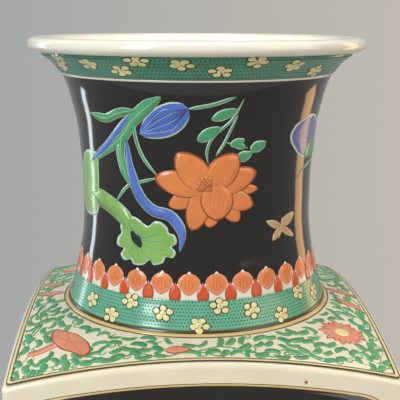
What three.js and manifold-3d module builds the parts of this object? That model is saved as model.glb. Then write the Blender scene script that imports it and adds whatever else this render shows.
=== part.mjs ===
// A square mallet vase in porcelain, built the way a potter builds it: four mitred wall slabs stand on a
// floor slab over a foot of four strips, a domed shoulder slab closes them, and a thrown neck with a rolled
// lip stands on the shoulder. Clay coils are pressed into the four inside corners.
// Millimetres, +Z up, origin at the middle of the foot's resting plane. The front wall faces -Y.
import * as THREE from "three";
import { mergeVertices } from "three/addons/utils/BufferGeometryUtils.js";
import Module from "manifold-3d";

const wasm = await Module();
wasm.setup();

// Driving sizes
const height = 500; // foot to the top of the lip
const neckHeight = 131; // shoulder seat to the top of the lip
const bodyWidth = 176; // across the walls at the shoulder
const footWidth = 138; // across the walls at the resting plane
const wallThickness = 9;
const floorThickness = 10;
const footHeight = 8;
const footStripWidth = 12;
const shoulderThickness = 10;
const jointGap = 0.3; // the layer of slip in each luted joint

// The shoulder falls away from the neck's seat by slope * d + curve * d * d, where d is measured outwards
const domeSlope = 0.19;
const domeCurve = 0.0012;

const neckBaseRadius = 66.5;
const neckWall = 7.5;
const lipRadius = 82.5;
const lipHeight = 7;
const ringWidth = 1.5; // the slim bead that covers the joint of neck and shoulder
const ringRise = 1;
const coilReach = 11; // how far a corner coil runs along each wall
const roundSteps = 64;

// The neck's outline: share of its height from the seat, and radius as a share of its base radius
const neckOutline = [
  [0, 1], [0.07, 0.953], [0.14, 0.915], [0.215, 0.882], [0.3, 0.865], [0.4, 0.86], [0.52, 0.862],
  [0.63, 0.877], [0.72, 0.897], [0.81, 0.937], [0.87, 0.975], [0.915, 1.0], [0.945, 1.033],
  [0.967, 1.068], [0.985, 1.1], [1, 1.135],
];

const seatHeight = height - neckHeight;
const neckTop = height - lipHeight;
const seatRadius = neckBaseRadius + ringWidth;
const floorTop = footHeight + floorThickness;
const lean = (bodyWidth - footWidth) / 2 / seatHeight;
const halfAt = (z) => footWidth / 2 + lean * z;

const glaze = (color, roughness) => new THREE.MeshStandardMaterial({ color, roughness, metalness: 0 });
const creamGlaze = glaze(0xe9e2cf, 0.2);
const blackGlaze = glaze(0x1b1a18, 0.15);
const greenGlaze = glaze(0x7fae86, 0.2);
const yellowGlaze = glaze(0xc9b060, 0.25);
const bareClay = glaze(0xcbbfa8, 0.8);

const solidOf = (geometry) => {
  const copy = geometry.clone();
  copy.deleteAttribute("normal");
  copy.deleteAttribute("uv");
  const merged = mergeVertices(copy, 1e-4);
  return new wasm.Manifold(new wasm.Mesh({
    numProp: 3,
    vertProperties: new Float32Array(merged.attributes.position.array),
    triVerts: new Uint32Array(merged.index.array),
  }));
};

const geometryOf = (solid) => {
  const mesh = solid.getMesh();
  const geometry = new THREE.BufferGeometry();
  geometry.setAttribute("position", new THREE.BufferAttribute(new Float32Array(mesh.vertProperties), 3));
  geometry.setIndex(new THREE.BufferAttribute(new Uint32Array(mesh.triVerts), 1));
  geometry.computeVertexNormals();
  return geometry;
};

// A profile of [radius, z] points turned about the Z axis
const turned = (profile) => {
  const points = profile.map(([r, z]) => new THREE.Vector2(r, z));
  return new THREE.LatheGeometry(points, roundSteps).rotateX(Math.PI / 2);
};

// A straight solid between two heights, whose plan at a height is planAt(z)
const lofted = (low, high, planAt) => {
  const bottom = planAt(low).map(([x, y]) => [x, y, low]);
  const top = planAt(high).map(([x, y]) => [x, y, high]);
  const count = bottom.length;
  const index = [];
  for (let i = 0; i < count; i++) {
    const next = (i + 1) % count;
    index.push(i, next, next + count, i, next + count, i + count);
  }
  for (let i = 1; i + 1 < count; i++) {
    index.push(0, i + 1, i, count, count + i, count + i + 1);
  }
  const geometry = new THREE.BufferGeometry();
  const position = new Float32Array([...bottom, ...top].flat());
  geometry.setAttribute("position", new THREE.BufferAttribute(position, 3));
  geometry.setIndex(index);
  return geometry;
};

// Everything under the shoulder's dome, with the dome lowered by drop
const underDome = (drop) => {
  const reach = bodyWidth * 0.8;
  const rings = 9;
  const profile = [[0, -10], [reach, -10]];
  for (let i = rings; i >= 0; i--) {
    const d = ((reach - seatRadius) * i) / rings;
    profile.push([seatRadius + d, seatHeight - domeSlope * d - domeCurve * d * d - drop]);
  }
  profile.push([0, seatHeight - drop]);
  return solidOf(turned(profile));
};

// The front slab of a square box, with mitred ends
const mitredSlab = (low, high, thickness) => lofted(low, high, (z) => {
  const outer = halfAt(z);
  const inner = outer - thickness;
  const gap = jointGap * 0.75;
  return [[-outer + gap, -outer], [outer - gap, -outer], [inner - gap, -inner], [-inner + gap, -inner]];
});

const squareBlock = (low, high) => lofted(low, high, (z) => {
  const side = halfAt(z);
  return [[-side, -side], [side, -side], [side, side], [-side, side]];
});

const vase = new THREE.Group();
const add = (name, geometry, material, turns = 0) => {
  const mesh = new THREE.Mesh(geometry, material);
  mesh.name = name;
  mesh.rotation.z = (turns * Math.PI) / 2;
  vase.add(mesh);
};

// Foot strips and walls, one to each side
const underShoulder = underDome(shoulderThickness + jointGap);
const wall = geometryOf(solidOf(mitredSlab(floorTop, height, wallThickness)).intersect(underShoulder));
const footStrip = mitredSlab(0, footHeight, footStripWidth);
["front", "right", "back", "left"].forEach((side, i) => {
  add(`foot_${side}`, footStrip, bareClay, i);
  add(`wall_${side}`, wall, blackGlaze, i);
});

// Floor slab
add("floor_slab", squareBlock(footHeight, floorTop), bareClay);

// Coils pressed into the inside corners, each with a hollow face towards the inside
const coilBlock = lofted(floorTop, height, (z) => {
  const corner = halfAt(z) - wallThickness - jointGap;
  const near = coilReach * 0.42;
  const far = coilReach * 0.55;
  return [
    [corner, -corner],
    [corner, -corner + coilReach],
    [corner - near, -corner + far],
    [corner - far, -corner + near],
    [corner - coilReach, -corner],
  ];
});
const coil = geometryOf(solidOf(coilBlock).intersect(underShoulder));
["front_right", "back_right", "back_left", "front_left"].forEach((corner, i) => {
  add(`corner_coil_${corner}`, coil, bareClay, i);
});

// Shoulder slab: the square's top between two domes, with the neck's hole through it
const holeRadius = neckBaseRadius - neckWall;
const hole = solidOf(turned([[0, 0], [holeRadius, 0], [holeRadius, height], [0, height]]));
const shoulder = solidOf(squareBlock(floorTop, height))
  .intersect(underDome(0))
  .subtract(underDome(shoulderThickness))
  .subtract(hole);
add("shoulder_slab", geometryOf(shoulder), creamGlaze);

// Neck: a thrown wall, waisted, that flares to the mouth
const outer = neckOutline.map(([share, size]) => [
  neckBaseRadius * size,
  seatHeight + (neckTop - seatHeight) * share,
]);
const inner = outer.map(([r, z]) => [r - neckWall, z]).reverse();
add("neck", turned([...outer, ...inner, outer[0]]), blackGlaze);

// The low ring over the joint of neck and shoulder
const ringInner = neckBaseRadius + jointGap;
add("neck_ring", turned([
  [ringInner, seatHeight],
  [seatRadius, seatHeight],
  [seatRadius - ringWidth * 0.25, seatHeight + ringRise * 0.8],
  [ringInner + ringWidth * 0.2, seatHeight + ringRise],
  [ringInner, seatHeight + ringRise],
  [ringInner, seatHeight],
]), yellowGlaze);

// The rolled lip: a half round outside, a soft slope into the mouth
const mouthRadius = outer[outer.length - 1][0] - neckWall;
const roll = lipHeight / 2;
const lipProfile = [[mouthRadius, neckTop]];
for (let i = 0; i <= 8; i++) {
  const a = -Math.PI / 2 + (i / 8) * Math.PI;
  lipProfile.push([lipRadius - roll + roll * Math.cos(a), neckTop + roll + roll * Math.sin(a)]);
}
lipProfile.push([mouthRadius + neckWall * 0.35, height - lipHeight * 0.08]);
lipProfile.push([mouthRadius, height - lipHeight * 0.35]);
lipProfile.push([mouthRadius, neckTop]);
add("lip_roll", turned(lipProfile), creamGlaze);

export default vase;
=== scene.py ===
import math

import bpy
import numpy as np
from mathutils import Matrix, Vector


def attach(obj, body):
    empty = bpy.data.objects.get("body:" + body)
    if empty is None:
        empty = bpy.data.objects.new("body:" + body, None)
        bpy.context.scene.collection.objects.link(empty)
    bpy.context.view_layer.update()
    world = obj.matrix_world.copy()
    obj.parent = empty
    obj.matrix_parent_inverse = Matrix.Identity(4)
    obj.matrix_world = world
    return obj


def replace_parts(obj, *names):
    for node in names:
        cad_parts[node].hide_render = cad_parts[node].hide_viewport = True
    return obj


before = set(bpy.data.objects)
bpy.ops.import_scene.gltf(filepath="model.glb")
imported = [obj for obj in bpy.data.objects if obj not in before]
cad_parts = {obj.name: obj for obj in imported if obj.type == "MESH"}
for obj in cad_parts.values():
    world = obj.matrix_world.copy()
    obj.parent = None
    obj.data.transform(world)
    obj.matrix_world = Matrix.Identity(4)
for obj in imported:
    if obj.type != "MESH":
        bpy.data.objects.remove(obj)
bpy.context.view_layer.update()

# Sizes here are millimetres; meshes are scaled to metres when they are made.
scale = 0.001

form = {
    "crest": 500.0, "seat": 369.0, "halfTop": 88.0, "halfFoot": 69.0, "slope": 0.19, "curve": 0.0012,
    "seatRadius": 68.0, "footTop": 8.0, "wall": 9.0, "shoulder": 10.0, "floorTop": 18.0,
    "cornerRound": 2.5, "edgeRound": 2.6, "holeRadius": 59.0, "neckWall": 7.5, "canvas": 60.0,
}
view = {"place": (-19.9, -430.5, 510.2), "focal": 860.0, "pitch": 12.16, "roll": 0.20, "aim": (0.0502, 0.9987)}

# Neck outline: depth below the crest of the lip, and outer radius
neckShape = np.array([
    (6.6, 75.8), (7.8, 75.8), (8.7, 75.2), (10.2, 73.2), (12.1, 71.0), (15.0, 68.6), (17.9, 66.3), (23.0, 64.1),
    (29.7, 62.3), (41.6, 59.6), (53.6, 58.3), (65.8, 57.4), (78.1, 57.2), (87.3, 57.25), (96.7, 58.0),
    (102.9, 59.0), (109.2, 60.0), (117.4, 61.7), (122.7, 63.3), (127.9, 64.8), (131.0, 66.4),
])


# A curve through the points: between two points it is the cubic whose slope at each is half the step
# between that point's neighbours.
def smoothLine(points, count, closed=False):
    p = np.asarray(points, float)
    n = len(p)
    t = np.linspace(0, n if closed else n - 1, count, endpoint=not closed)
    i = np.minimum(t.astype(int), (n - 1) if closed else (n - 2))
    f = (t - i)[:, None]
    pick = (lambda k: p[k % n]) if closed else (lambda k: p[np.clip(k, 0, n - 1)])
    a, b, c, d = pick(i - 1), pick(i), pick(i + 1), pick(i + 2)
    return b + 0.5 * f * (c - a + f * (2 * a - 5 * b + 4 * c - d + f * (3 * (b - c) + d - a)))


neckCurve = smoothLine(neckShape, 200)


def neckRadius(z):
    return np.interp(form["crest"] - z, neckCurve[:, 0], neckCurve[:, 1])


# Half the width across the walls: it grows evenly from the foot to the seat.
def halfAt(z):
    return form["halfFoot"] + (form["halfTop"] - form["halfFoot"]) * z / form["seat"]


# Height of the shoulder at a distance r from the axis: outside the seat it falls by the slope times the
# distance past the seat, and by the curve times that distance squared.
def domeAt(r):
    d = np.maximum(0, r - form["seatRadius"])
    return form["seat"] - form["slope"] * d - form["curve"] * d * d


# The three painting grounds. Each turns a flat (across, up) point and a height off the glaze into a place.
def onNeck(uv, lift):
    angle = uv[..., 0] / form["canvas"]
    r = neckRadius(uv[..., 1]) + lift
    return np.stack([r * np.sin(angle), -r * np.cos(angle), uv[..., 1] + 0 * r], -1)


def onShoulder(uv, lift):
    r = np.hypot(uv[..., 0], uv[..., 1])
    return np.stack([uv[..., 0], uv[..., 1], domeAt(r) + lift], -1)


def onWall(side):
    c, s = [(1, 0), (0, 1), (-1, 0), (0, -1)][side]

    def put(uv, lift):
        x, y = uv[..., 0], -halfAt(uv[..., 1]) - lift
        return np.stack([c * x - s * y, s * x + c * y, uv[..., 1] + 0 * x], -1)
    return put


# Camera axes, and where the line of sight through a point of the picture meets a ground
pitch, roll = math.radians(view["pitch"]), math.radians(view["roll"])
look = np.array([view["aim"][0] * math.cos(pitch), view["aim"][1] * math.cos(pitch), -math.sin(pitch)])
flatRight = np.array([view["aim"][1], -view["aim"][0], 0.0])
flatUp = np.cross(flatRight, look)
right = flatRight * math.cos(roll) + flatUp * math.sin(roll)
up = flatUp * math.cos(roll) - flatRight * math.sin(roll)


# Points along the line of sight through a picture point: the step sideways and down is the distance from
# the middle of the picture, in pixels, divided by the focal length in pixels.
def sightPoints(xy):
    xy = np.atleast_2d(np.asarray(xy, float))
    d = look + right * ((xy[:, :1] - 200) / view["focal"]) - up * ((xy[:, 1:] - 200) / view["focal"])
    t = np.arange(300, 600, 0.5)
    return np.array(view["place"]) + d[:, None, :] * t[None, :, None]


# The first point of each line of sight inside the ground, or the nearest one if the line passes it by.
def meeting(points, gap):
    hit = gap < 0
    first = np.where(hit.any(1), hit.argmax(1), np.abs(gap).argmin(1))
    return points[np.arange(len(points)), first]


def neckAt(xy):
    p = sightPoints(xy)
    q = meeting(p, np.hypot(p[..., 0], p[..., 1]) - neckRadius(p[..., 2]))
    return np.stack([np.arctan2(q[:, 0], -q[:, 1]) * form["canvas"], q[:, 2]], 1)


def shoulderAt(xy):
    p = sightPoints(xy)
    q = meeting(p, p[..., 2] - domeAt(np.hypot(p[..., 0], p[..., 1])))
    return q[:, :2]


def wallAt(xy):
    p = sightPoints(xy)
    return meeting(p, -halfAt(p[..., 2]) - p[..., 1])[:, [0, 2]]


# Mesh building
# Six times the volume: for each triangle the first corner dotted with the cross product of the other
# two. It is negative when the faces look inwards.
def volumeOf(verts, faces):
    total = 0.0
    for f in faces:
        a = verts[f[0]]
        for j in range(1, len(f) - 1):
            total += np.dot(a, np.cross(verts[f[j]], verts[f[j + 1]]))
    return total


def turnedOut(verts, faces):
    return (verts, [f[::-1] for f in faces]) if volumeOf(verts, faces) < 0 else (verts, faces)


def addPiece(name, solids, material):
    verts, faces, base = [], [], 0
    for v, f in solids:
        verts.append(v)
        faces += [[base + k for k in face] for face in f]
        base += len(v)
    mesh = bpy.data.meshes.new(name)
    mesh.from_pydata((np.concatenate(verts) * scale).tolist(), [], faces)
    mesh.polygons.foreach_set("use_smooth", [True] * len(mesh.polygons))
    mesh.materials.append(material)
    mesh.update()
    piece = bpy.data.objects.new(name, mesh)
    bpy.context.scene.collection.objects.link(piece)
    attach(piece, "root")
    return piece


def loopFaces(rows, cols, closedRows):
    last = rows if closedRows else rows - 1
    return [[r * cols + c, r * cols + (c + 1) % cols, ((r + 1) % rows) * cols + (c + 1) % cols,
             ((r + 1) % rows) * cols + c] for r in range(last) for c in range(cols)]


# A closed profile of (radius, z) carried round the axis.
def turned(profile, steps=224):
    p = np.asarray(profile, float)
    a = np.arange(steps) / steps * 2 * math.pi
    verts = np.stack([p[:, :1] * np.sin(a), -p[:, :1] * np.cos(a), np.repeat(p[:, 1:], steps, 1)], -1)
    return turnedOut(verts.reshape(-1, 3), loopFaces(len(p), steps, True))


def ringOfPaint(depthTop, depthBottom, lift):
    z = form["crest"] - np.linspace(depthTop, depthBottom, max(4, int((depthBottom - depthTop) / 0.8)))
    outside = [(neckRadius(k) + lift, k) for k in z]
    inside = [(neckRadius(k) - 0.4, k) for k in z[::-1]]
    return turned(outside + inside)


# A drop of enamel: rings of the outline drawn in towards its middle, full height within the rim.
def pad(put, outline, lift, rings=(0.94, 0.6, 0.28)):
    edge = np.asarray(outline, float)
    middle, n = edge.mean(0), len(edge)
    rows = [put(edge, -0.3), put(edge, lift * 0.4)]
    rows += [put(middle + (edge - middle) * t, lift) for t in rings]
    verts = np.concatenate(rows + [put(middle[None], lift), put(middle[None], -0.6)])
    faces = loopFaces(len(rows), n, False)
    top, low, last = len(verts) - 2, len(verts) - 1, (len(rows) - 1) * n
    faces += [[last + c, last + (c + 1) % n, top] for c in range(n)]
    faces += [[(c + 1) % n, c, low] for c in range(n)]
    return turnedOut(verts, faces)


# A brush stroke: a smooth line whose width swells from one tip to the other.
def stroke(put, points, width, lift, count=24, tipStart=0.15, tipEnd=0.1):
    line = smoothLine(points, count)
    t = np.linspace(0, 1, count)
    along = np.gradient(line, axis=0)
    along /= np.maximum(np.linalg.norm(along, axis=1, keepdims=True), 1e-6)
    across = np.stack([-along[:, 1], along[:, 0]], 1)
    swell = np.minimum(1, np.minimum(tipStart + t * 4, tipEnd + (1 - t) * 4))
    half = (width / 2 * swell)[:, None]
    rim = lift - 0.07
    rows = [put(line - across * half, -0.3), put(line - across * half, rim), put(line, lift),
            put(line + across * half, rim), put(line + across * half, -0.3)]
    verts = np.stack(rows, 1).reshape(-1, 3)
    faces = loopFaces(count, 5, False) + [[0, 1, 2, 3, 4], [(count - 1) * 5 + k for k in (4, 3, 2, 1, 0)]]
    return turnedOut(verts, faces)


# Outline from base to tip: half width is the sine of the way along, raised to the bluntness.
def petalLine(base, tip, width, count=20, blunt=0.75):
    base, tip = np.asarray(base, float), np.asarray(tip, float)
    along = tip - base
    side = np.array([-along[1], along[0]]) / max(np.linalg.norm(along), 1e-6)
    t = np.concatenate([np.linspace(0, 1, count // 2, endpoint=False), np.linspace(1, 0, count // 2, endpoint=False)])
    sign = np.where(np.arange(len(t)) < count // 2, 1, -1)
    half = width / 2 * np.sin(math.pi * t ** 0.85) ** blunt
    return base + along * t[:, None] + side * (sign * half)[:, None]


# A circle, or with waves a scalloped one whose radius swings by depth times the cosine.
def discLine(middle, radius, count=10, waves=0, depth=0.0):
    a = np.arange(count) / count * 2 * math.pi
    r = radius * (1 + depth * np.cos(waves * a))
    return np.asarray(middle, float) + np.stack([r * np.cos(a), r * np.sin(a)], 1)


# Glazes: one noise both shifts the colour and ripples the surface
def glaze(name, colour, rough=0.12, change=0.06, coat=0.4, ripple=0.04, size=60.0):
    made = bpy.data.materials.new(name)
    made.use_nodes = True
    nodes, links = made.node_tree.nodes, made.node_tree.links
    shader = nodes["Principled BSDF"]
    place = nodes.new("ShaderNodeTexCoord")
    noise = nodes.new("ShaderNodeTexNoise")
    noise.inputs["Scale"].default_value = size
    noise.inputs["Detail"].default_value = 4
    mix = nodes.new("ShaderNodeMix")
    mix.data_type = "RGBA"
    mix.inputs[6].default_value = (*[k * (1 - change) for k in colour], 1)
    mix.inputs[7].default_value = (*[min(1, k * (1 + change)) for k in colour], 1)
    bump = nodes.new("ShaderNodeBump")
    bump.inputs["Strength"].default_value = ripple
    bump.inputs["Distance"].default_value = 0.0006
    links.new(place.outputs["Object"], noise.inputs["Vector"])
    links.new(noise.outputs[0], mix.inputs[0])
    links.new(mix.outputs[2], shader.inputs["Base Color"])
    links.new(noise.outputs[0], bump.inputs["Height"])
    links.new(bump.outputs[0], shader.inputs["Normal"])
    shader.inputs["Roughness"].default_value = rough
    shader.inputs["Coat Weight"].default_value = coat
    shader.inputs["Coat Roughness"].default_value = 0.08
    return made


paint = {
    "black": glaze("black", (0.014, 0.012, 0.010), 0.1, 0.25),
    "cream": glaze("cream", (0.84, 0.77, 0.58), 0.16),
    "white": glaze("white", (0.84, 0.80, 0.68), 0.16),
    "line": glaze("line", (0.075, 0.035, 0.02), 0.3),
    "dot": glaze("dot", (0.006, 0.022, 0.016), 0.3),
    "rust": glaze("rust", (0.36, 0.07, 0.02), 0.3),
    "yellow": glaze("yellow", (0.66, 0.50, 0.19), 0.22),
    "butter": glaze("butter", (0.82, 0.74, 0.36), 0.22),
    "jade": glaze("jade", (0.06, 0.27, 0.17), 0.22, 0.3, 0.4, 0.04, 140.0),
    "paleJade": glaze("paleJade", (0.14, 0.45, 0.29), 0.22, 0.22, 0.4, 0.04, 140.0),
    "mint": glaze("mint", (0.52, 0.68, 0.55), 0.22, 0.1),
    "orange": glaze("orange", (0.80, 0.25, 0.07), 0.25, 0.25, 0.4, 0.04, 120.0),
    "coral": glaze("coral", (0.78, 0.28, 0.16), 0.25, 0.2),
    "red": glaze("red", (0.66, 0.09, 0.02), 0.25, 0.2),
    "blue": glaze("blue", (0.09, 0.18, 0.58), 0.22, 0.3, 0.4, 0.04, 120.0),
    "ink": glaze("ink", (0.015, 0.03, 0.16), 0.25),
    "violet": glaze("violet", (0.13, 0.16, 0.40), 0.22, 0.3),
    "leaf": glaze("leaf", (0.07, 0.36, 0.15), 0.22, 0.4, 0.4, 0.04, 140.0),
    "foliage": glaze("foliage", (0.11, 0.37, 0.14), 0.25, 0.5, 0.4, 0.04, 160.0),
    "lime": glaze("lime", (0.25, 0.48, 0.12), 0.22, 0.25, 0.4, 0.04, 120.0),
    "tan": glaze("tan", (0.66, 0.46, 0.24), 0.25, 0.15),
    "clay": glaze("clay", (0.50, 0.42, 0.30), 0.75, 0.12, 0.0, 0.3, 400.0),
}
print("glazes ready")

# Body: one glazed skin over the walls and shoulder, inside and out, as it is after firing
body = {"straight": 36, "arc": 6, "wallRows": 12, "edgeRows": 6, "shoulderRows": 16}


# Points round a square with rounded corners; half may differ from point to point.
def squareRing(half, rounding):
    per = body["straight"] + body["arc"]
    k = np.arange(4 * per)
    side, j = k // per, k % per
    flat = half - rounding
    t = np.minimum(j / body["straight"], 1)
    a = np.maximum(j - body["straight"], 0) / body["arc"] * math.pi / 2
    x = -flat + 2 * flat * t + rounding * np.sin(a)
    y = -half + rounding * (1 - np.cos(a))
    c, s = np.cos(side * math.pi / 2).round(), np.sin(side * math.pi / 2).round()
    return np.stack([c * x - s * y, s * x + c * y], 1)


# Rows of one face of the shell, from low up the wall, over the edge and in to the neck's hole.
def shellRows(inset, low, drop):
    rows, turn = [], max(form["edgeRound"] - inset * 0.1, 1.0)
    rounding = form["cornerRound"]
    edge = squareRing(np.full(4 * (body["straight"] + body["arc"]), form["halfTop"] - 0.3 - inset), rounding)
    edgeZ = domeAt(np.hypot(*edge.T)) - drop
    for i in range(body["wallRows"]):
        z = low + (edgeZ - turn - low) * i / body["wallRows"]
        rows.append(np.column_stack([squareRing(halfAt(z) - inset, rounding), z]))
    half = halfAt(edgeZ - turn) - inset
    for i in range(body["edgeRows"] + 1):
        a = i / body["edgeRows"] * math.pi / 2
        ring = squareRing(half - turn * (1 - math.cos(a)), rounding)
        z = np.minimum(edgeZ - turn + turn * math.sin(a), domeAt(np.hypot(*ring.T)) - drop)
        rows.append(np.column_stack([ring, z]))
    start = rows[-1][:, :2]
    end = start / np.hypot(*start.T)[:, None] * form["holeRadius"]
    for i in range(1, body["shoulderRows"] + 1):
        ring = start + (end - start) * i / body["shoulderRows"]
        rows.append(np.column_stack([ring, domeAt(np.hypot(*ring.T)) - drop]))
    return rows


outsideRows = shellRows(0.0, form["footTop"], 0.0)
insideRows = shellRows(form["wall"], form["floorTop"], form["shoulder"])[::-1]
shellPoints = outsideRows + insideRows
shellCols = len(outsideRows[0])
shellVerts = np.concatenate(shellPoints + [[[0, 0, form["floorTop"]]], [[0, 0, form["footTop"]]]])
shellFaces = loopFaces(len(shellPoints), shellCols, False)
lastRow, inCentre, outCentre = (len(shellPoints) - 1) * shellCols, len(shellVerts) - 2, len(shellVerts) - 1
shellFaces += [[lastRow + c, lastRow + (c + 1) % shellCols, inCentre] for c in range(shellCols)]
shellFaces += [[(c + 1) % shellCols, c, outCentre] for c in range(shellCols)]
bodySkin = addPiece("body_skin", [turnedOut(shellVerts, shellFaces)], paint["cream"])
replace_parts(bodySkin, "wall_front", "wall_right", "wall_back", "wall_left", "shoulder_slab", "floor_slab",
            "corner_coil_front_right", "corner_coil_back_right", "corner_coil_back_left",
            "corner_coil_front_left")
for side in ("front", "right", "back", "left"):
    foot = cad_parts["foot_" + side]
    foot.data.materials.clear()
    foot.data.materials.append(paint["clay"])
print("body ready")

# Neck, ring and lip as smooth turned pieces
neckZ = form["crest"] - np.linspace(6.8, 131.0, 90)
neckSkin = addPiece("neck_skin", [turned([(neckRadius(k), k) for k in neckZ]
                                         + [(neckRadius(k) - form["neckWall"], k) for k in neckZ[::-1]])],
                    paint["black"])
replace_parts(neckSkin, "neck")

ringProfile = smoothLine([(66.0, 368.8), (67.6, 368.7), (67.7, 369.3), (67.0, 369.9), (66.2, 370.0), (65.6, 369.4)],
                         36, True)
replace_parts(addPiece("ring_skin", [turned(ringProfile)], paint["yellow"]), "neck_ring")

lipShape = [(68.4, 493.3), (72.5, 492.9), (76.5, 493.1), (79.8, 493.5), (82.0, 495.2), (82.3, 497.0),
            (81.3, 498.9), (78.6, 499.8), (75.0, 499.6), (71.0, 498.4), (68.6, 496.2)]
lipSkin = addPiece("lip_skin", [turned(smoothLine(lipShape, 66, True))], paint["white"])
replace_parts(lipSkin, "lip_roll")
print("neck and lip ready")

# Painted rings of the neck, by depth below the crest
ringsOfPaint = {
    "jade": [(6.9, 16.9)], "white": [(17.0, 17.9)], "paleJade": [(115.7, 128.9)], "line": [(128.9, 130.2)],
}
jobs = {name: [] for name in paint}
for name, spans in ringsOfPaint.items():
    jobs[name] += [ringOfPaint(top, low, 0.12) for top, low in spans]

# The brown line on the shoulder that closes the yellow bead
beadLine = [(68.0, -0.3), (68.0, 0.13), (68.5, 0.13), (68.5, -0.3)]
jobs["line"].append(turned([(r, domeAt(r) + lift) for r, lift in beadLine]))

# The white glaze inside the neck
liningZ = form["crest"] - np.linspace(7.4, 130.6, 60)
jobs["white"].append(turned([(neckRadius(k) - form["neckWall"] + 0.3, k) for k in liningZ]
                            + [(neckRadius(k) - form["neckWall"] - 0.2, k) for k in liningZ[::-1]]))

# Dots: rows round each green band, each row half a step on from the last
dots = {"radius": 0.4, "lift": 0.2, "sides": 6, "count": 250}


def dotRing(depth, count, shift):
    z = form["crest"] - depth
    reach = 2 * math.pi * form["canvas"]
    return [pad(onNeck, discLine(((k + shift) / count * reach, z), dots["radius"], dots["sides"]),
                dots["lift"], (0.5,)) for k in range(count)]


for row in range(6):
    jobs["dot"] += dotRing(8.4 + row * 1.5, dots["count"], row % 2 / 2)
for row in range(8):
    jobs["dot"] += dotRing(116.6 + row * 1.5, dots["count"], row % 2 / 2)

# Blossoms of five petals on the bands, front and back: place in the picture, and how flat it is drawn
blossomSpots = {
    "upper": [(58, 58), (63, 66), (89, 64), (122, 71), (136, 61), (181, 65), (221, 72), (258, 62), (294, 66),
              (314, 71)],
    "base": [(93, 299), (112, 314), (131, 300), (163, 313), (199, 325), (220, 305), (252, 310), (281, 314),
             (297, 291), (313, 291)],
}


def blossom(spot, reach, turn, flat):
    solids = {"dot": [], "butter": [], "tan": []}
    squash = np.array([1.0, flat])
    for k in range(5):
        a = turn + k * 2 * math.pi / 5
        away = reach * (0.7 + 0.1 * math.sin(3 * turn + 2 * k))
        middle = spot + np.array([math.cos(a), math.sin(a)]) * squash * away
        lobe = discLine((0, 0), 1.0, 12) * squash
        solids["dot"].append(pad(onNeck, middle + lobe * reach * 0.5, 0.23, (0.9, 0.5)))
        solids["butter"].append(pad(onNeck, middle + lobe * reach * 0.4, 0.27, (0.9, 0.5)))
    solids["butter"].append(pad(onNeck, spot + discLine((0, 0), reach * 0.38) * squash, 0.28, (0.9, 0.5)))
    solids["tan"].append(pad(onNeck, discLine(spot, reach * 0.13), 0.32, (0.9, 0.5)))
    return solids


for half in (0, 1):
    offset = np.array([math.pi * form["canvas"] * half, 0])
    for i, spot in enumerate(neckAt(blossomSpots["upper"] + blossomSpots["base"])):
        reach, flat = (4.2, 0.55) if i < len(blossomSpots["upper"]) else (4.0, 0.85)
        spot[1] = np.clip(spot[1], *((485.0, 491.0) if i < len(blossomSpots["upper"]) else (373.5, 381.5)))
        for name, solids in blossom(spot + offset, reach, i * 0.7, flat).items():
            jobs[name] += solids

# Lappets standing on the base band: a white petal, its tip orange, and a red tongue between each two
lappet = {"count": 30, "base": 384.2, "tall": 12.8}
pitchStep = 2 * math.pi * form["canvas"] / lappet["count"]
firstLappet = neckAt([(189, 290)])[0, 0]


# A flame: straight at the foot, swelling to mid height, then drawn in to the tip.
def lappetLine(middle, wide, low, high):
    w, t = wide / 2, high - low
    points = [(-w * 0.8, 0), (-w, t * 0.3), (-w * 0.85, t * 0.58), (-w * 0.28, t * 0.84), (0, t),
              (w * 0.28, t * 0.84), (w * 0.85, t * 0.58), (w, t * 0.3), (w * 0.8, 0), (0, 0)]
    return smoothLine([(middle + x, low + y) for x, y in points], 32, True)


for k in range(lappet["count"]):
    middle = firstLappet + k * pitchStep
    low, high = lappet["base"], lappet["base"] + lappet["tall"]
    jobs["white"].append(pad(onNeck, lappetLine(middle, 12.4, low, high), 0.16))
    jobs["coral"].append(pad(onNeck, petalLine((middle, high - 0.7), (middle, low + 1.6), 10.4, 28, 0.7), 0.21))
    jobs["orange"].append(pad(onNeck, petalLine((middle, high - 1.2), (middle, low + 3.6), 8.8, 28, 0.7), 0.25))
    for shift in (-1.6, 0.0, 1.6):
        vein = [(middle + shift * 0.4, high - 3.4), (middle + shift, high - 5.6), (middle + shift, high - 7.6)]
        jobs["red"].append(stroke(onNeck, vein, 0.5, 0.3, 8))
    between = middle + pitchStep / 2
    jobs["rust"].append(pad(onNeck, lappetLine(between, 5.6, low - 0.2, low + 7.9), 0.34))
    jobs["red"].append(pad(onNeck, lappetLine(between, 5.0, low, low + 7.5), 0.40))
print("bands and lappets ready")

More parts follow.
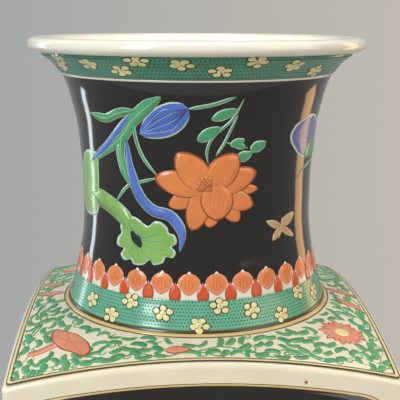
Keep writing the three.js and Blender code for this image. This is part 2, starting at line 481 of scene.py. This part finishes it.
# Flowers of the neck, drawn at their places in the picture and painted again on the far side.
# A petal is (base, tip, width) in picture points; a line is (points, width in mm).
neckPainting = {
    "petals": [
        ((238, 190), (257, 188), 9), ((196, 196), (169, 205), 17), ((214, 210), (208, 227), 14),
        ((226, 205), (238, 221), 15), ((226, 196), (252, 205), 20), ((204, 190), (192, 230), 23),
        ((212, 190), (255, 171), 24), ((204, 190), (156, 177), 25), ((208, 188), (177, 154), 29),
        ((209, 187), (237, 155), 28), ((217, 184), (216, 220), 32),
    ],
    "stems": [
        ([(132, 112), (136, 138), (144, 158), (157, 175)], 1.7),
        ([(158, 178), (140, 182), (127, 187), (116, 203)], 1.5),
        ([(208, 164), (207, 150), (214, 136), (232, 120), (244, 99)], 1.3),
        ([(216, 156), (225, 141), (238, 115)], 1.3),
        ([(188, 109), (212, 105), (236, 97)], 1.7), ([(311, 158), (303, 168), (297, 178)], 1.0),
        ([(225, 142), (238, 146), (248, 148)], 0.7),
    ],
    "blades": [
        ([(161, 97), (146, 108), (131, 122), (121, 138), (98, 159)], 5.6),
        ([(91, 113), (106, 118), (118, 113), (135, 110)], 3.4),
        ([(134, 112), (124, 128), (121, 150), (124, 168), (129, 184)], 4.4),
    ],
    "ribbons": [
        ([(130, 116), (118, 131), (106, 146), (92, 161)], 2.6),
        ([(127, 140), (131, 170), (139, 194), (153, 210), (171, 216), (182, 233), (180, 251)], 4.6),
    ],
    "leaves": [
        ((211, 120), (238, 109), 9), ((197, 141), (221, 127), 11), ((230, 146), (245, 139), 7),
        ((250, 151), (266, 141), 9), ((236, 160), (252, 152), 9), ((233, 143), (246, 148), 6),
    ],
    "leafPad": [(132, 216), (140, 220), (148, 226), (155, 221), (163, 223), (168, 228), (169, 233), (175, 235),
                (177, 243), (172, 247), (176, 252), (173, 258), (166, 257), (163, 263), (154, 265), (150, 260),
                (143, 265), (134, 264), (131, 259), (125, 260), (121, 254), (124, 248), (118, 245), (118, 237),
                (122, 232), (121, 224)],
    "padMiddle": (137, 239),
    "padVeins": [(150, 260), (168, 250), (160, 232), (122, 206), (104, 198), (128, 254), (148, 232), (172, 240),
                 (140, 260)],
    "leafArm": [(93, 192), (106, 201), (121, 213), (135, 230)],
    "leafStrip": [(86, 150), (97, 153), (99, 172), (99, 192), (98, 213), (88, 212), (84, 190), (83, 168)],
    "bud": ((189, 109), (140, 134), 31),
    "bell": [(302, 158), (294, 149), (290, 138), (294, 127), (303, 119), (313, 113), (317, 120), (315, 134),
             (311, 150)],
    "moth": (281, 227),
}


def paintNeck(job, points, lift, offset):
    jobs[job].append(pad(onNeck, neckAt(points) + offset, lift))


def paintNeckLine(job, points, width, lift, offset):
    jobs[job].append(stroke(onNeck, neckAt(points) + offset, width, lift))


# Fine lines that leave the base together and spread towards the tip.
def fan(job, base, tip, width, count, lift, offset, thick=0.22):
    base, tip = np.array(base, float), np.array(tip, float)
    side = np.array([-(tip - base)[1], (tip - base)[0]]) / np.hypot(*(tip - base))
    for shift in np.linspace(-0.34, 0.34, count):
        bend = (base + tip) / 2 + side * shift * width
        end = base + (tip - base) * (0.86 - abs(shift) * 0.5) + side * shift * width * 0.8
        paintNeckLine(job, [base, bend, end], thick, lift, offset)


for half in (0, 1):
    offset = np.array([math.pi * form["canvas"] * half, 0])
    paintNeckLine("mint", neckPainting["leafArm"], 8.6, 0.18, offset)
    for name, lift in (("leafStrip", 0.2), ("leafPad", 0.22)):
        paintNeck("mint", smoothLine(neckPainting[name], 96, True), lift, offset)
        middle = np.mean(neckPainting[name], 0)
        paintNeck("lime", middle + (smoothLine(neckPainting[name], 96, True) - middle) * 0.955, lift + 0.05, offset)
    paintNeckLine("lime", neckPainting["leafArm"], 7.9, 0.29, offset)
    paintNeck("dot", petalLine((132, 230), (142, 248), 9), 0.37, offset)
    middle = np.array(neckPainting["padMiddle"])
    for end in neckPainting["padVeins"]:
        paintNeckLine("leaf", [middle, (np.array(end) + middle) / 2 + (0, 1.5), end], 0.35, 0.35, offset)
    for points, width in neckPainting["blades"]:
        paintNeckLine("mint", points, width + 0.7, 0.26, offset)
        paintNeckLine("leaf", points, width, 0.33, offset)
        paintNeckLine("mint", points, 0.3, 0.38, offset)
    for points, width in neckPainting["ribbons"]:
        paintNeckLine("mint", points, width + 0.7, 0.34, offset)
        paintNeckLine("blue", points, width, 0.40, offset)
    for points, width in neckPainting["stems"]:
        paintNeckLine("mint", points, width, 0.30, offset)
        paintNeckLine("leaf", points, width * 0.55, 0.38, offset)
    for base, tip, width in neckPainting["leaves"]:
        paintNeck("mint", petalLine(base, tip, width + 1.6), 0.3, offset)
        paintNeck("leaf", petalLine(base, tip, width), 0.36, offset)
    base, tip, width = neckPainting["bud"]
    paintNeck("mint", petalLine(base, tip, width + 2, 40, 0.6), 0.26, offset)
    paintNeck("blue", petalLine(base, tip, width, 40, 0.6), 0.33, offset)
    fan("ink", base, tip, width, 9, 0.39, offset, 0.3)
    fan("mint", tip, base, width, 4, 0.40, offset, 0.2)
    for i, (base, tip, width) in enumerate(neckPainting["petals"]):
        lift = 0.18 + 0.05 * i
        past = np.array(base) + (np.array(tip) - base) * 1.03
        paintNeck("rust", petalLine(base, past, width + 1.6, 36, 0.55), lift, offset)
        paintNeck("orange", petalLine(base, tip, width, 36, 0.55), lift + 0.03, offset)
        fan("red", base, tip, width, 6, lift + 0.06, offset, 0.2)
    fan("rust", (212, 191), (198, 178), 26, 7, 0.78, offset, 0.3)
    for spot in ((199, 182), (202, 178), (206, 177), (210, 178), (197, 186)):
        paintNeck("yellow", discLine(spot, 1.1, 8), 0.84, offset)
    paintNeck("mint", smoothLine(neckPainting["bell"], 40, True), 0.24, offset)
    middle = np.mean(neckPainting["bell"], 0)
    paintNeck("violet", middle + (smoothLine(neckPainting["bell"], 40, True) - middle) * 0.93, 0.3, offset)
    fan("mint", (307, 155), (303, 120), 26, 7, 0.35, offset, 0.2)
    paintNeck("leaf", petalLine((304, 158), (315, 138), 8), 0.4, offset)
    mx, my = neckPainting["moth"]
    for dx, dy, size in ((-15, -6, 8), (12, -16, 8), (-9, 14, 6), (12, 9, 7)):
        paintNeck("tan", petalLine((mx, my), (mx + dx, my + dy), size), 0.24, offset)
        fan("line", (mx, my), (mx + dx, my + dy), size, 3, 0.29, offset, 0.18)
    paintNeckLine("tan", [(mx + 1, my - 10), (mx, my), (mx - 3, my + 11)], 1.0, 0.34, offset)
print("neck painting ready")

# Shoulder: double border line, then scrolling leaves over the whole field round four corner flowers
border = {"out": 85.4, "in": 83.7, "width": 0.32, "round": 2.0}
field = {"inner": 69.4, "edge": 81.5, "limit": 82.3, "step": 4.5, "tries": 12000, "seed": 5}


def squareBand(outer, inner, lift):
    count = 4 * (body["straight"] + body["arc"])
    out = squareRing(np.full(count, outer), border["round"])
    inn = squareRing(np.full(count, inner), border["round"])
    rows = [onShoulder(out, -0.4), onShoulder(out, lift), onShoulder(inn, lift), onShoulder(inn, -0.4)]
    return turnedOut(np.concatenate(rows), loopFaces(4, count, True))


jobs["line"] += [squareBand(border["out"], border["out"] - border["width"], 0.16),
                 squareBand(border["in"], border["in"] - border["width"], 0.16)]
jobs["butter"].append(squareBand(border["out"] - border["width"], border["in"], 0.08))

shoulderFlowers = {
    "trumpet": [(51, 336), (55, 330), (66, 331), (80, 336), (89, 344), (91, 352), (84, 357), (72, 353), (60, 349),
                (53, 343)],
    "tail": [(27, 356), (40, 352), (56, 345)],
    "aster": (342, 333),
    "buds": [((164, 351), (192, 350)), ((44, 285), (65, 285)), ((325, 288), (356, 297))],
}


def halfTurn(points, half):
    return np.asarray(points) * (1 - 2 * half)


flowerSpots = []
for half in (0, 1):
    mouth = halfTurn(shoulderAt(smoothLine(shoulderFlowers["trumpet"], 40, True)), half)
    middle = mouth.mean(0)
    tail = halfTurn(shoulderAt(shoulderFlowers["tail"]), half)
    jobs["rust"] += [stroke(onShoulder, tail, 4.4, 0.2, 24, 0.2, 1.0), pad(onShoulder, mouth, 0.26)]
    jobs["coral"] += [stroke(onShoulder, tail, 3.8, 0.26, 24, 0.2, 1.0),
                      pad(onShoulder, middle + (mouth - middle) * 0.94, 0.32)]
    for k in range(5):
        jobs["rust"].append(stroke(onShoulder, [middle, (middle + mouth[k * 8]) / 2, mouth[k * 8]], 0.3, 0.37, 10))
    flowerSpots += [(middle, 10.5), (tail[0], 4.0), (tail[1], 5.0)]
    aster = halfTurn(shoulderAt([shoulderFlowers["aster"]])[0], half)
    for k in range(18):
        a = k * math.pi / 9
        tip = aster + (11.5 if k % 2 else 10.0) * np.array([math.cos(a), math.sin(a)])
        short, rise = aster + (tip - aster) * 0.95, 0.03 * (k % 2)
        jobs["rust"].append(pad(onShoulder, petalLine(aster, tip, 4.4), 0.2 + rise))
        jobs["coral"].append(pad(onShoulder, petalLine(aster, short, 3.6), 0.26 + rise))
    jobs["butter"].append(pad(onShoulder, discLine(aster, 3.6, 20), 0.36))
    flowerSpots.append((aster, 13.0))
    for base, tip in shoulderFlowers["buds"]:
        ends = halfTurn(shoulderAt([base, tip]), half)
        jobs["rust"].append(pad(onShoulder, petalLine(ends[0], ends[1], 6.0), 0.24))
        jobs["coral"].append(pad(onShoulder, petalLine(ends[0], ends[0] + (ends[1] - ends[0]) * 0.95, 4.8), 0.3))
        flowerSpots.append((ends.mean(0), 6.0))

for side in range(4):
    c, s = math.cos(side * math.pi / 2), math.sin(side * math.pi / 2)
    for along, reach, waves in ((1, 77.5, 5.0), (-1, 80.0, 6.5)):
        t = np.linspace(-1, 1, 25)
        vine = np.stack([along * t * 78, -reach + 2.2 * np.sin(waves * math.pi * t)], 1)
        jobs["foliage"].append(stroke(onShoulder, vine @ np.array([[c, s], [-s, c]]), 0.8, 0.2, 90))

rng = np.random.default_rng(field["seed"])
leafSpots = []
for spot in rng.uniform(-field["edge"], field["edge"], (field["tries"], 2)):
    free = all(np.hypot(*(spot - f)) > reach for f, reach in flowerSpots)
    apart = free and all(np.hypot(*(spot - s)) > field["step"] for s in leafSpots)
    if apart and np.hypot(*spot) > field["inner"] + 1.5:
        leafSpots.append(spot)
for i, spot in enumerate(leafSpots):
    flow = math.atan2(spot[1], spot[0]) + math.pi / 2 + 0.9 * math.sin(spot[0] / 9) + rng.uniform(-0.7, 0.7)
    hand, size = (1 if i % 2 else -1), rng.uniform(4.2, 6.4)
    t = np.linspace(-1, 1, 7)
    bend = flow + hand * t * 0.9
    line = spot + np.cumsum(np.stack([np.cos(bend), np.sin(bend)], 1), 0) * size / 4.2
    line += spot - line.mean(0)
    reach = np.hypot(*line.T)[:, None]
    line = np.where(reach < field["inner"], line * field["inner"] / reach, line)
    line = np.clip(line, -field["limit"], field["limit"])
    job = "leaf" if i % 4 == 0 else "foliage"
    jobs[job].append(stroke(onShoulder, line, rng.uniform(2.1, 3.7), 0.22, 14, 0.1, 0.05))
    jobs["jade"].append(stroke(onShoulder, line, 0.35, 0.27, 14, 0.1, 0.05))
    if i % 2 == 0:
        a = flow + np.linspace(0, 4.6, 9) * hand
        r = 2.3 * (1 - np.linspace(0, 0.75, 9))
        curl = line[-1] + np.stack([np.cos(a) * r, np.sin(a) * r], 1)
        curl = np.clip(curl, -field["limit"], field["limit"])
        jobs["foliage"].append(stroke(onShoulder, curl, 0.7, 0.2, 14))
print("shoulder ready")

# Wall panels: brown, yellow and black, each laid over the last, then a flowering branch
panel = {"round": (0.16, 0.045), "low": 17.0, "steps": 8}
branch = {"bends": ((-30, 32), (-22, 90), (-34, 150), (-6, 200), (8, 245), (-4, 290)), "trunk": 6.0,
          "twigs": 9, "twig": 1.8, "margin": 22, "blossom": 7.5, "leaf": 13}


# A rounded rectangle drawn between the wall's edges, its top following the arch.
def panelLine(inset):
    rx, ry = panel["round"]
    flat = []
    for cx, cy, start in ((1 - rx, 1 - ry, 0), (-1 + rx, 1 - ry, 1), (-1 + rx, -1 + ry, 2), (1 - rx, -1 + ry, 3)):
        for k in range(panel["steps"] + 1):
            a = (start + k / panel["steps"]) * math.pi / 2
            flat.append((cx + rx * math.cos(a), cy + ry * math.sin(a)))
        if start in (0, 2):
            ends = (cx, -cx)
            flat += [(ends[0] + (ends[1] - ends[0]) * k / 16, cy + (ry if start == 0 else -ry)) for k in range(1, 16)]
    a, b = np.array(flat).T
    low, high = panel["low"] + inset, domeAt(np.hypot(a * 80, form["halfTop"])) - form["edgeRound"] - inset
    z = low + (high - low) * (b + 1) / 2
    return np.stack([a * (halfAt(z) - inset), z], 1)


jobs["rust"].append(pad(onWall(0), discLine(wallAt([(306, 382)])[0], 0.75), 0.12))
jobs["panel"] = []
paint["panel"] = paint["black"]
for side in range(4):
    put = onWall(side)
    jobs["line"].append(pad(put, panelLine(6.4), 0.07))
    jobs["yellow"].append(pad(put, panelLine(6.75), 0.12))
    jobs["line"].append(pad(put, panelLine(7.5), 0.16))
    jobs["panel"].append(pad(put, panelLine(7.8), 0.20))
    rng = np.random.default_rng(11 + side)
    hand = 1 if side % 2 == 0 else -1
    trunk = [(hand * x, z) for x, z in branch["bends"]]
    jobs["tan"].append(stroke(put, trunk, branch["trunk"], 0.5, 48))
    line = smoothLine(trunk, 60)
    for k in range(branch["twigs"]):
        start = line[8 + k * 6]
        lean = hand * (1 if k % 2 == 0 else -1)
        reach = 22 + 12 * rng.random()
        end = start + np.array([lean * reach, 16 + 14 * rng.random()])
        limit = halfAt(end[1]) - branch["margin"]
        end[0] = np.clip(end[0], -limit, limit)
        twig = [start, (start + end) / 2 + (0, -4), end]
        jobs["tan"].append(stroke(put, twig, branch["twig"], 0.4))
        for j, spot in enumerate((end, smoothLine(twig, 9)[5])):
            size = branch["blossom"] - 1.8 * j
            for m in range(5):
                a = m * 2 * math.pi / 5 + k
                middle = spot + size * 0.6 * np.array([math.cos(a), math.sin(a)])
                jobs["white" if (k + side) % 2 else "orange"].append(pad(put, discLine(middle, size * 0.5, 14), 0.5))
            jobs["yellow"].append(pad(put, discLine(spot, size * 0.26), 0.62))
        for m in range(3):
            base = smoothLine(twig, 9)[2 + 2 * m]
            tip = base + branch["leaf"] * np.array([math.cos(k + 2 * m), math.sin(k + 2 * m)])
            jobs["leaf"].append(pad(put, petalLine(base, tip, 6.0, 18), 0.34))
print("panels ready")

for name, solids in jobs.items():
    if solids:
        addPiece("paint_" + name, solids, paint[name])
print("enamels joined")

# Floor, lamps and camera
floorSize = {"radius": 0.6, "sides": 96}
floorMesh = bpy.data.meshes.new("floor")
ringAngles = np.arange(floorSize["sides"]) / floorSize["sides"] * 2 * math.pi
floorMesh.from_pydata([(floorSize["radius"] * math.cos(a), floorSize["radius"] * math.sin(a), 0) for a in ringAngles],
                      [], [list(range(floorSize["sides"]))])
floorMesh.materials.append(glaze("floorPaint", (0.5, 0.5, 0.49), 0.7, 0.02, 0.0, 0.0))
floor = bpy.data.objects.new("floor", floorMesh)
bpy.context.scene.collection.objects.link(floor)

lamps = {
    "key": {"place": (-0.75, -0.85, 1.0), "size": (0.35, 0.9), "power": 11.0, "colour": (0.93, 0.97, 1.0)},
    "fill": {"place": (0.95, -0.6, 0.95), "size": (0.9, 1.1), "power": 6.0, "colour": (1.0, 0.86, 0.70)},
    "window": {"place": (-0.92, 0.60, 0.5), "size": (0.13, 0.9), "power": 1.7, "colour": (0.86, 0.94, 1.0)},
    "amber": {"place": (0.96, 0.52, 0.5), "size": (0.30, 0.9), "power": 2.2, "colour": (1.0, 0.55, 0.22)},
    "top": {"place": (0.1, 0.2, 1.5), "size": (0.8, 0.8), "power": 8.0, "colour": (1.0, 0.98, 0.95)},
}
for name, lamp in lamps.items():
    data = bpy.data.lights.new(name, "AREA")
    data.shape = "RECTANGLE"
    data.size, data.size_y = lamp["size"]
    data.energy, data.color = lamp["power"], lamp["colour"]
    lampObject = bpy.data.objects.new(name, data)
    lampObject.location = lamp["place"]
    aim = Vector((0, 0, 0.42)) - lampObject.location
    lampObject.rotation_euler = aim.to_track_quat("-Z", "Y").to_euler()
    bpy.context.scene.collection.objects.link(lampObject)

# World: a grey room for reflections, and behind the vase a grey backdrop with painted light that goes lighter and
# warmer towards the right
world = bpy.data.worlds.new("room")
world.use_nodes = True
bpy.context.scene.world = world
wn, wl = world.node_tree.nodes, world.node_tree.links
room, seen = wn["Background"], wn.new("ShaderNodeBackground")
room.inputs[0].default_value, room.inputs[1].default_value = (0.62, 0.62, 0.62, 1), 0.55
way, split = wn.new("ShaderNodeTexCoord"), wn.new("ShaderNodeSeparateXYZ")
spread, shade = wn.new("ShaderNodeMapRange"), wn.new("ShaderNodeMix")
spread.inputs["From Min"].default_value, spread.inputs["From Max"].default_value = -0.17, 0.27
shade.data_type = "RGBA"
# Painted light on the backdrop: cool grey on the left, a lighter warm grey on the right
shade.inputs[6].default_value, shade.inputs[7].default_value = (0.385, 0.395, 0.395, 1), (0.53, 0.495, 0.44, 1)
wl.new(way.outputs["Generated"], split.inputs[0])
wl.new(split.outputs[0], spread.inputs[0])
wl.new(spread.outputs[0], shade.inputs[0])
wl.new(shade.outputs[2], seen.inputs[0])
path, pick = wn.new("ShaderNodeLightPath"), wn.new("ShaderNodeMixShader")
wl.new(path.outputs["Is Camera Ray"], pick.inputs[0])
wl.new(room.outputs[0], pick.inputs[1])
wl.new(seen.outputs[0], pick.inputs[2])
wl.new(pick.outputs[0], wn["World Output"].inputs[0])

cameraData = bpy.data.cameras.new("camera")
cameraData.sensor_width = 36.0
cameraData.lens = view["focal"] / 400 * cameraData.sensor_width
cameraData.clip_start = 0.01
camera = bpy.data.objects.new("camera", cameraData)
camera.matrix_world = Matrix.Translation(Vector(view["place"]) * scale) @ Matrix(
    [[right[k], up[k], -look[k]] for k in range(3)]).to_4x4()
bpy.context.scene.collection.objects.link(camera)
bpy.context.scene.camera = camera
bpy.context.scene.view_settings.view_transform = "Standard"

bpy.context.view_layer.update()
print("scene ready")
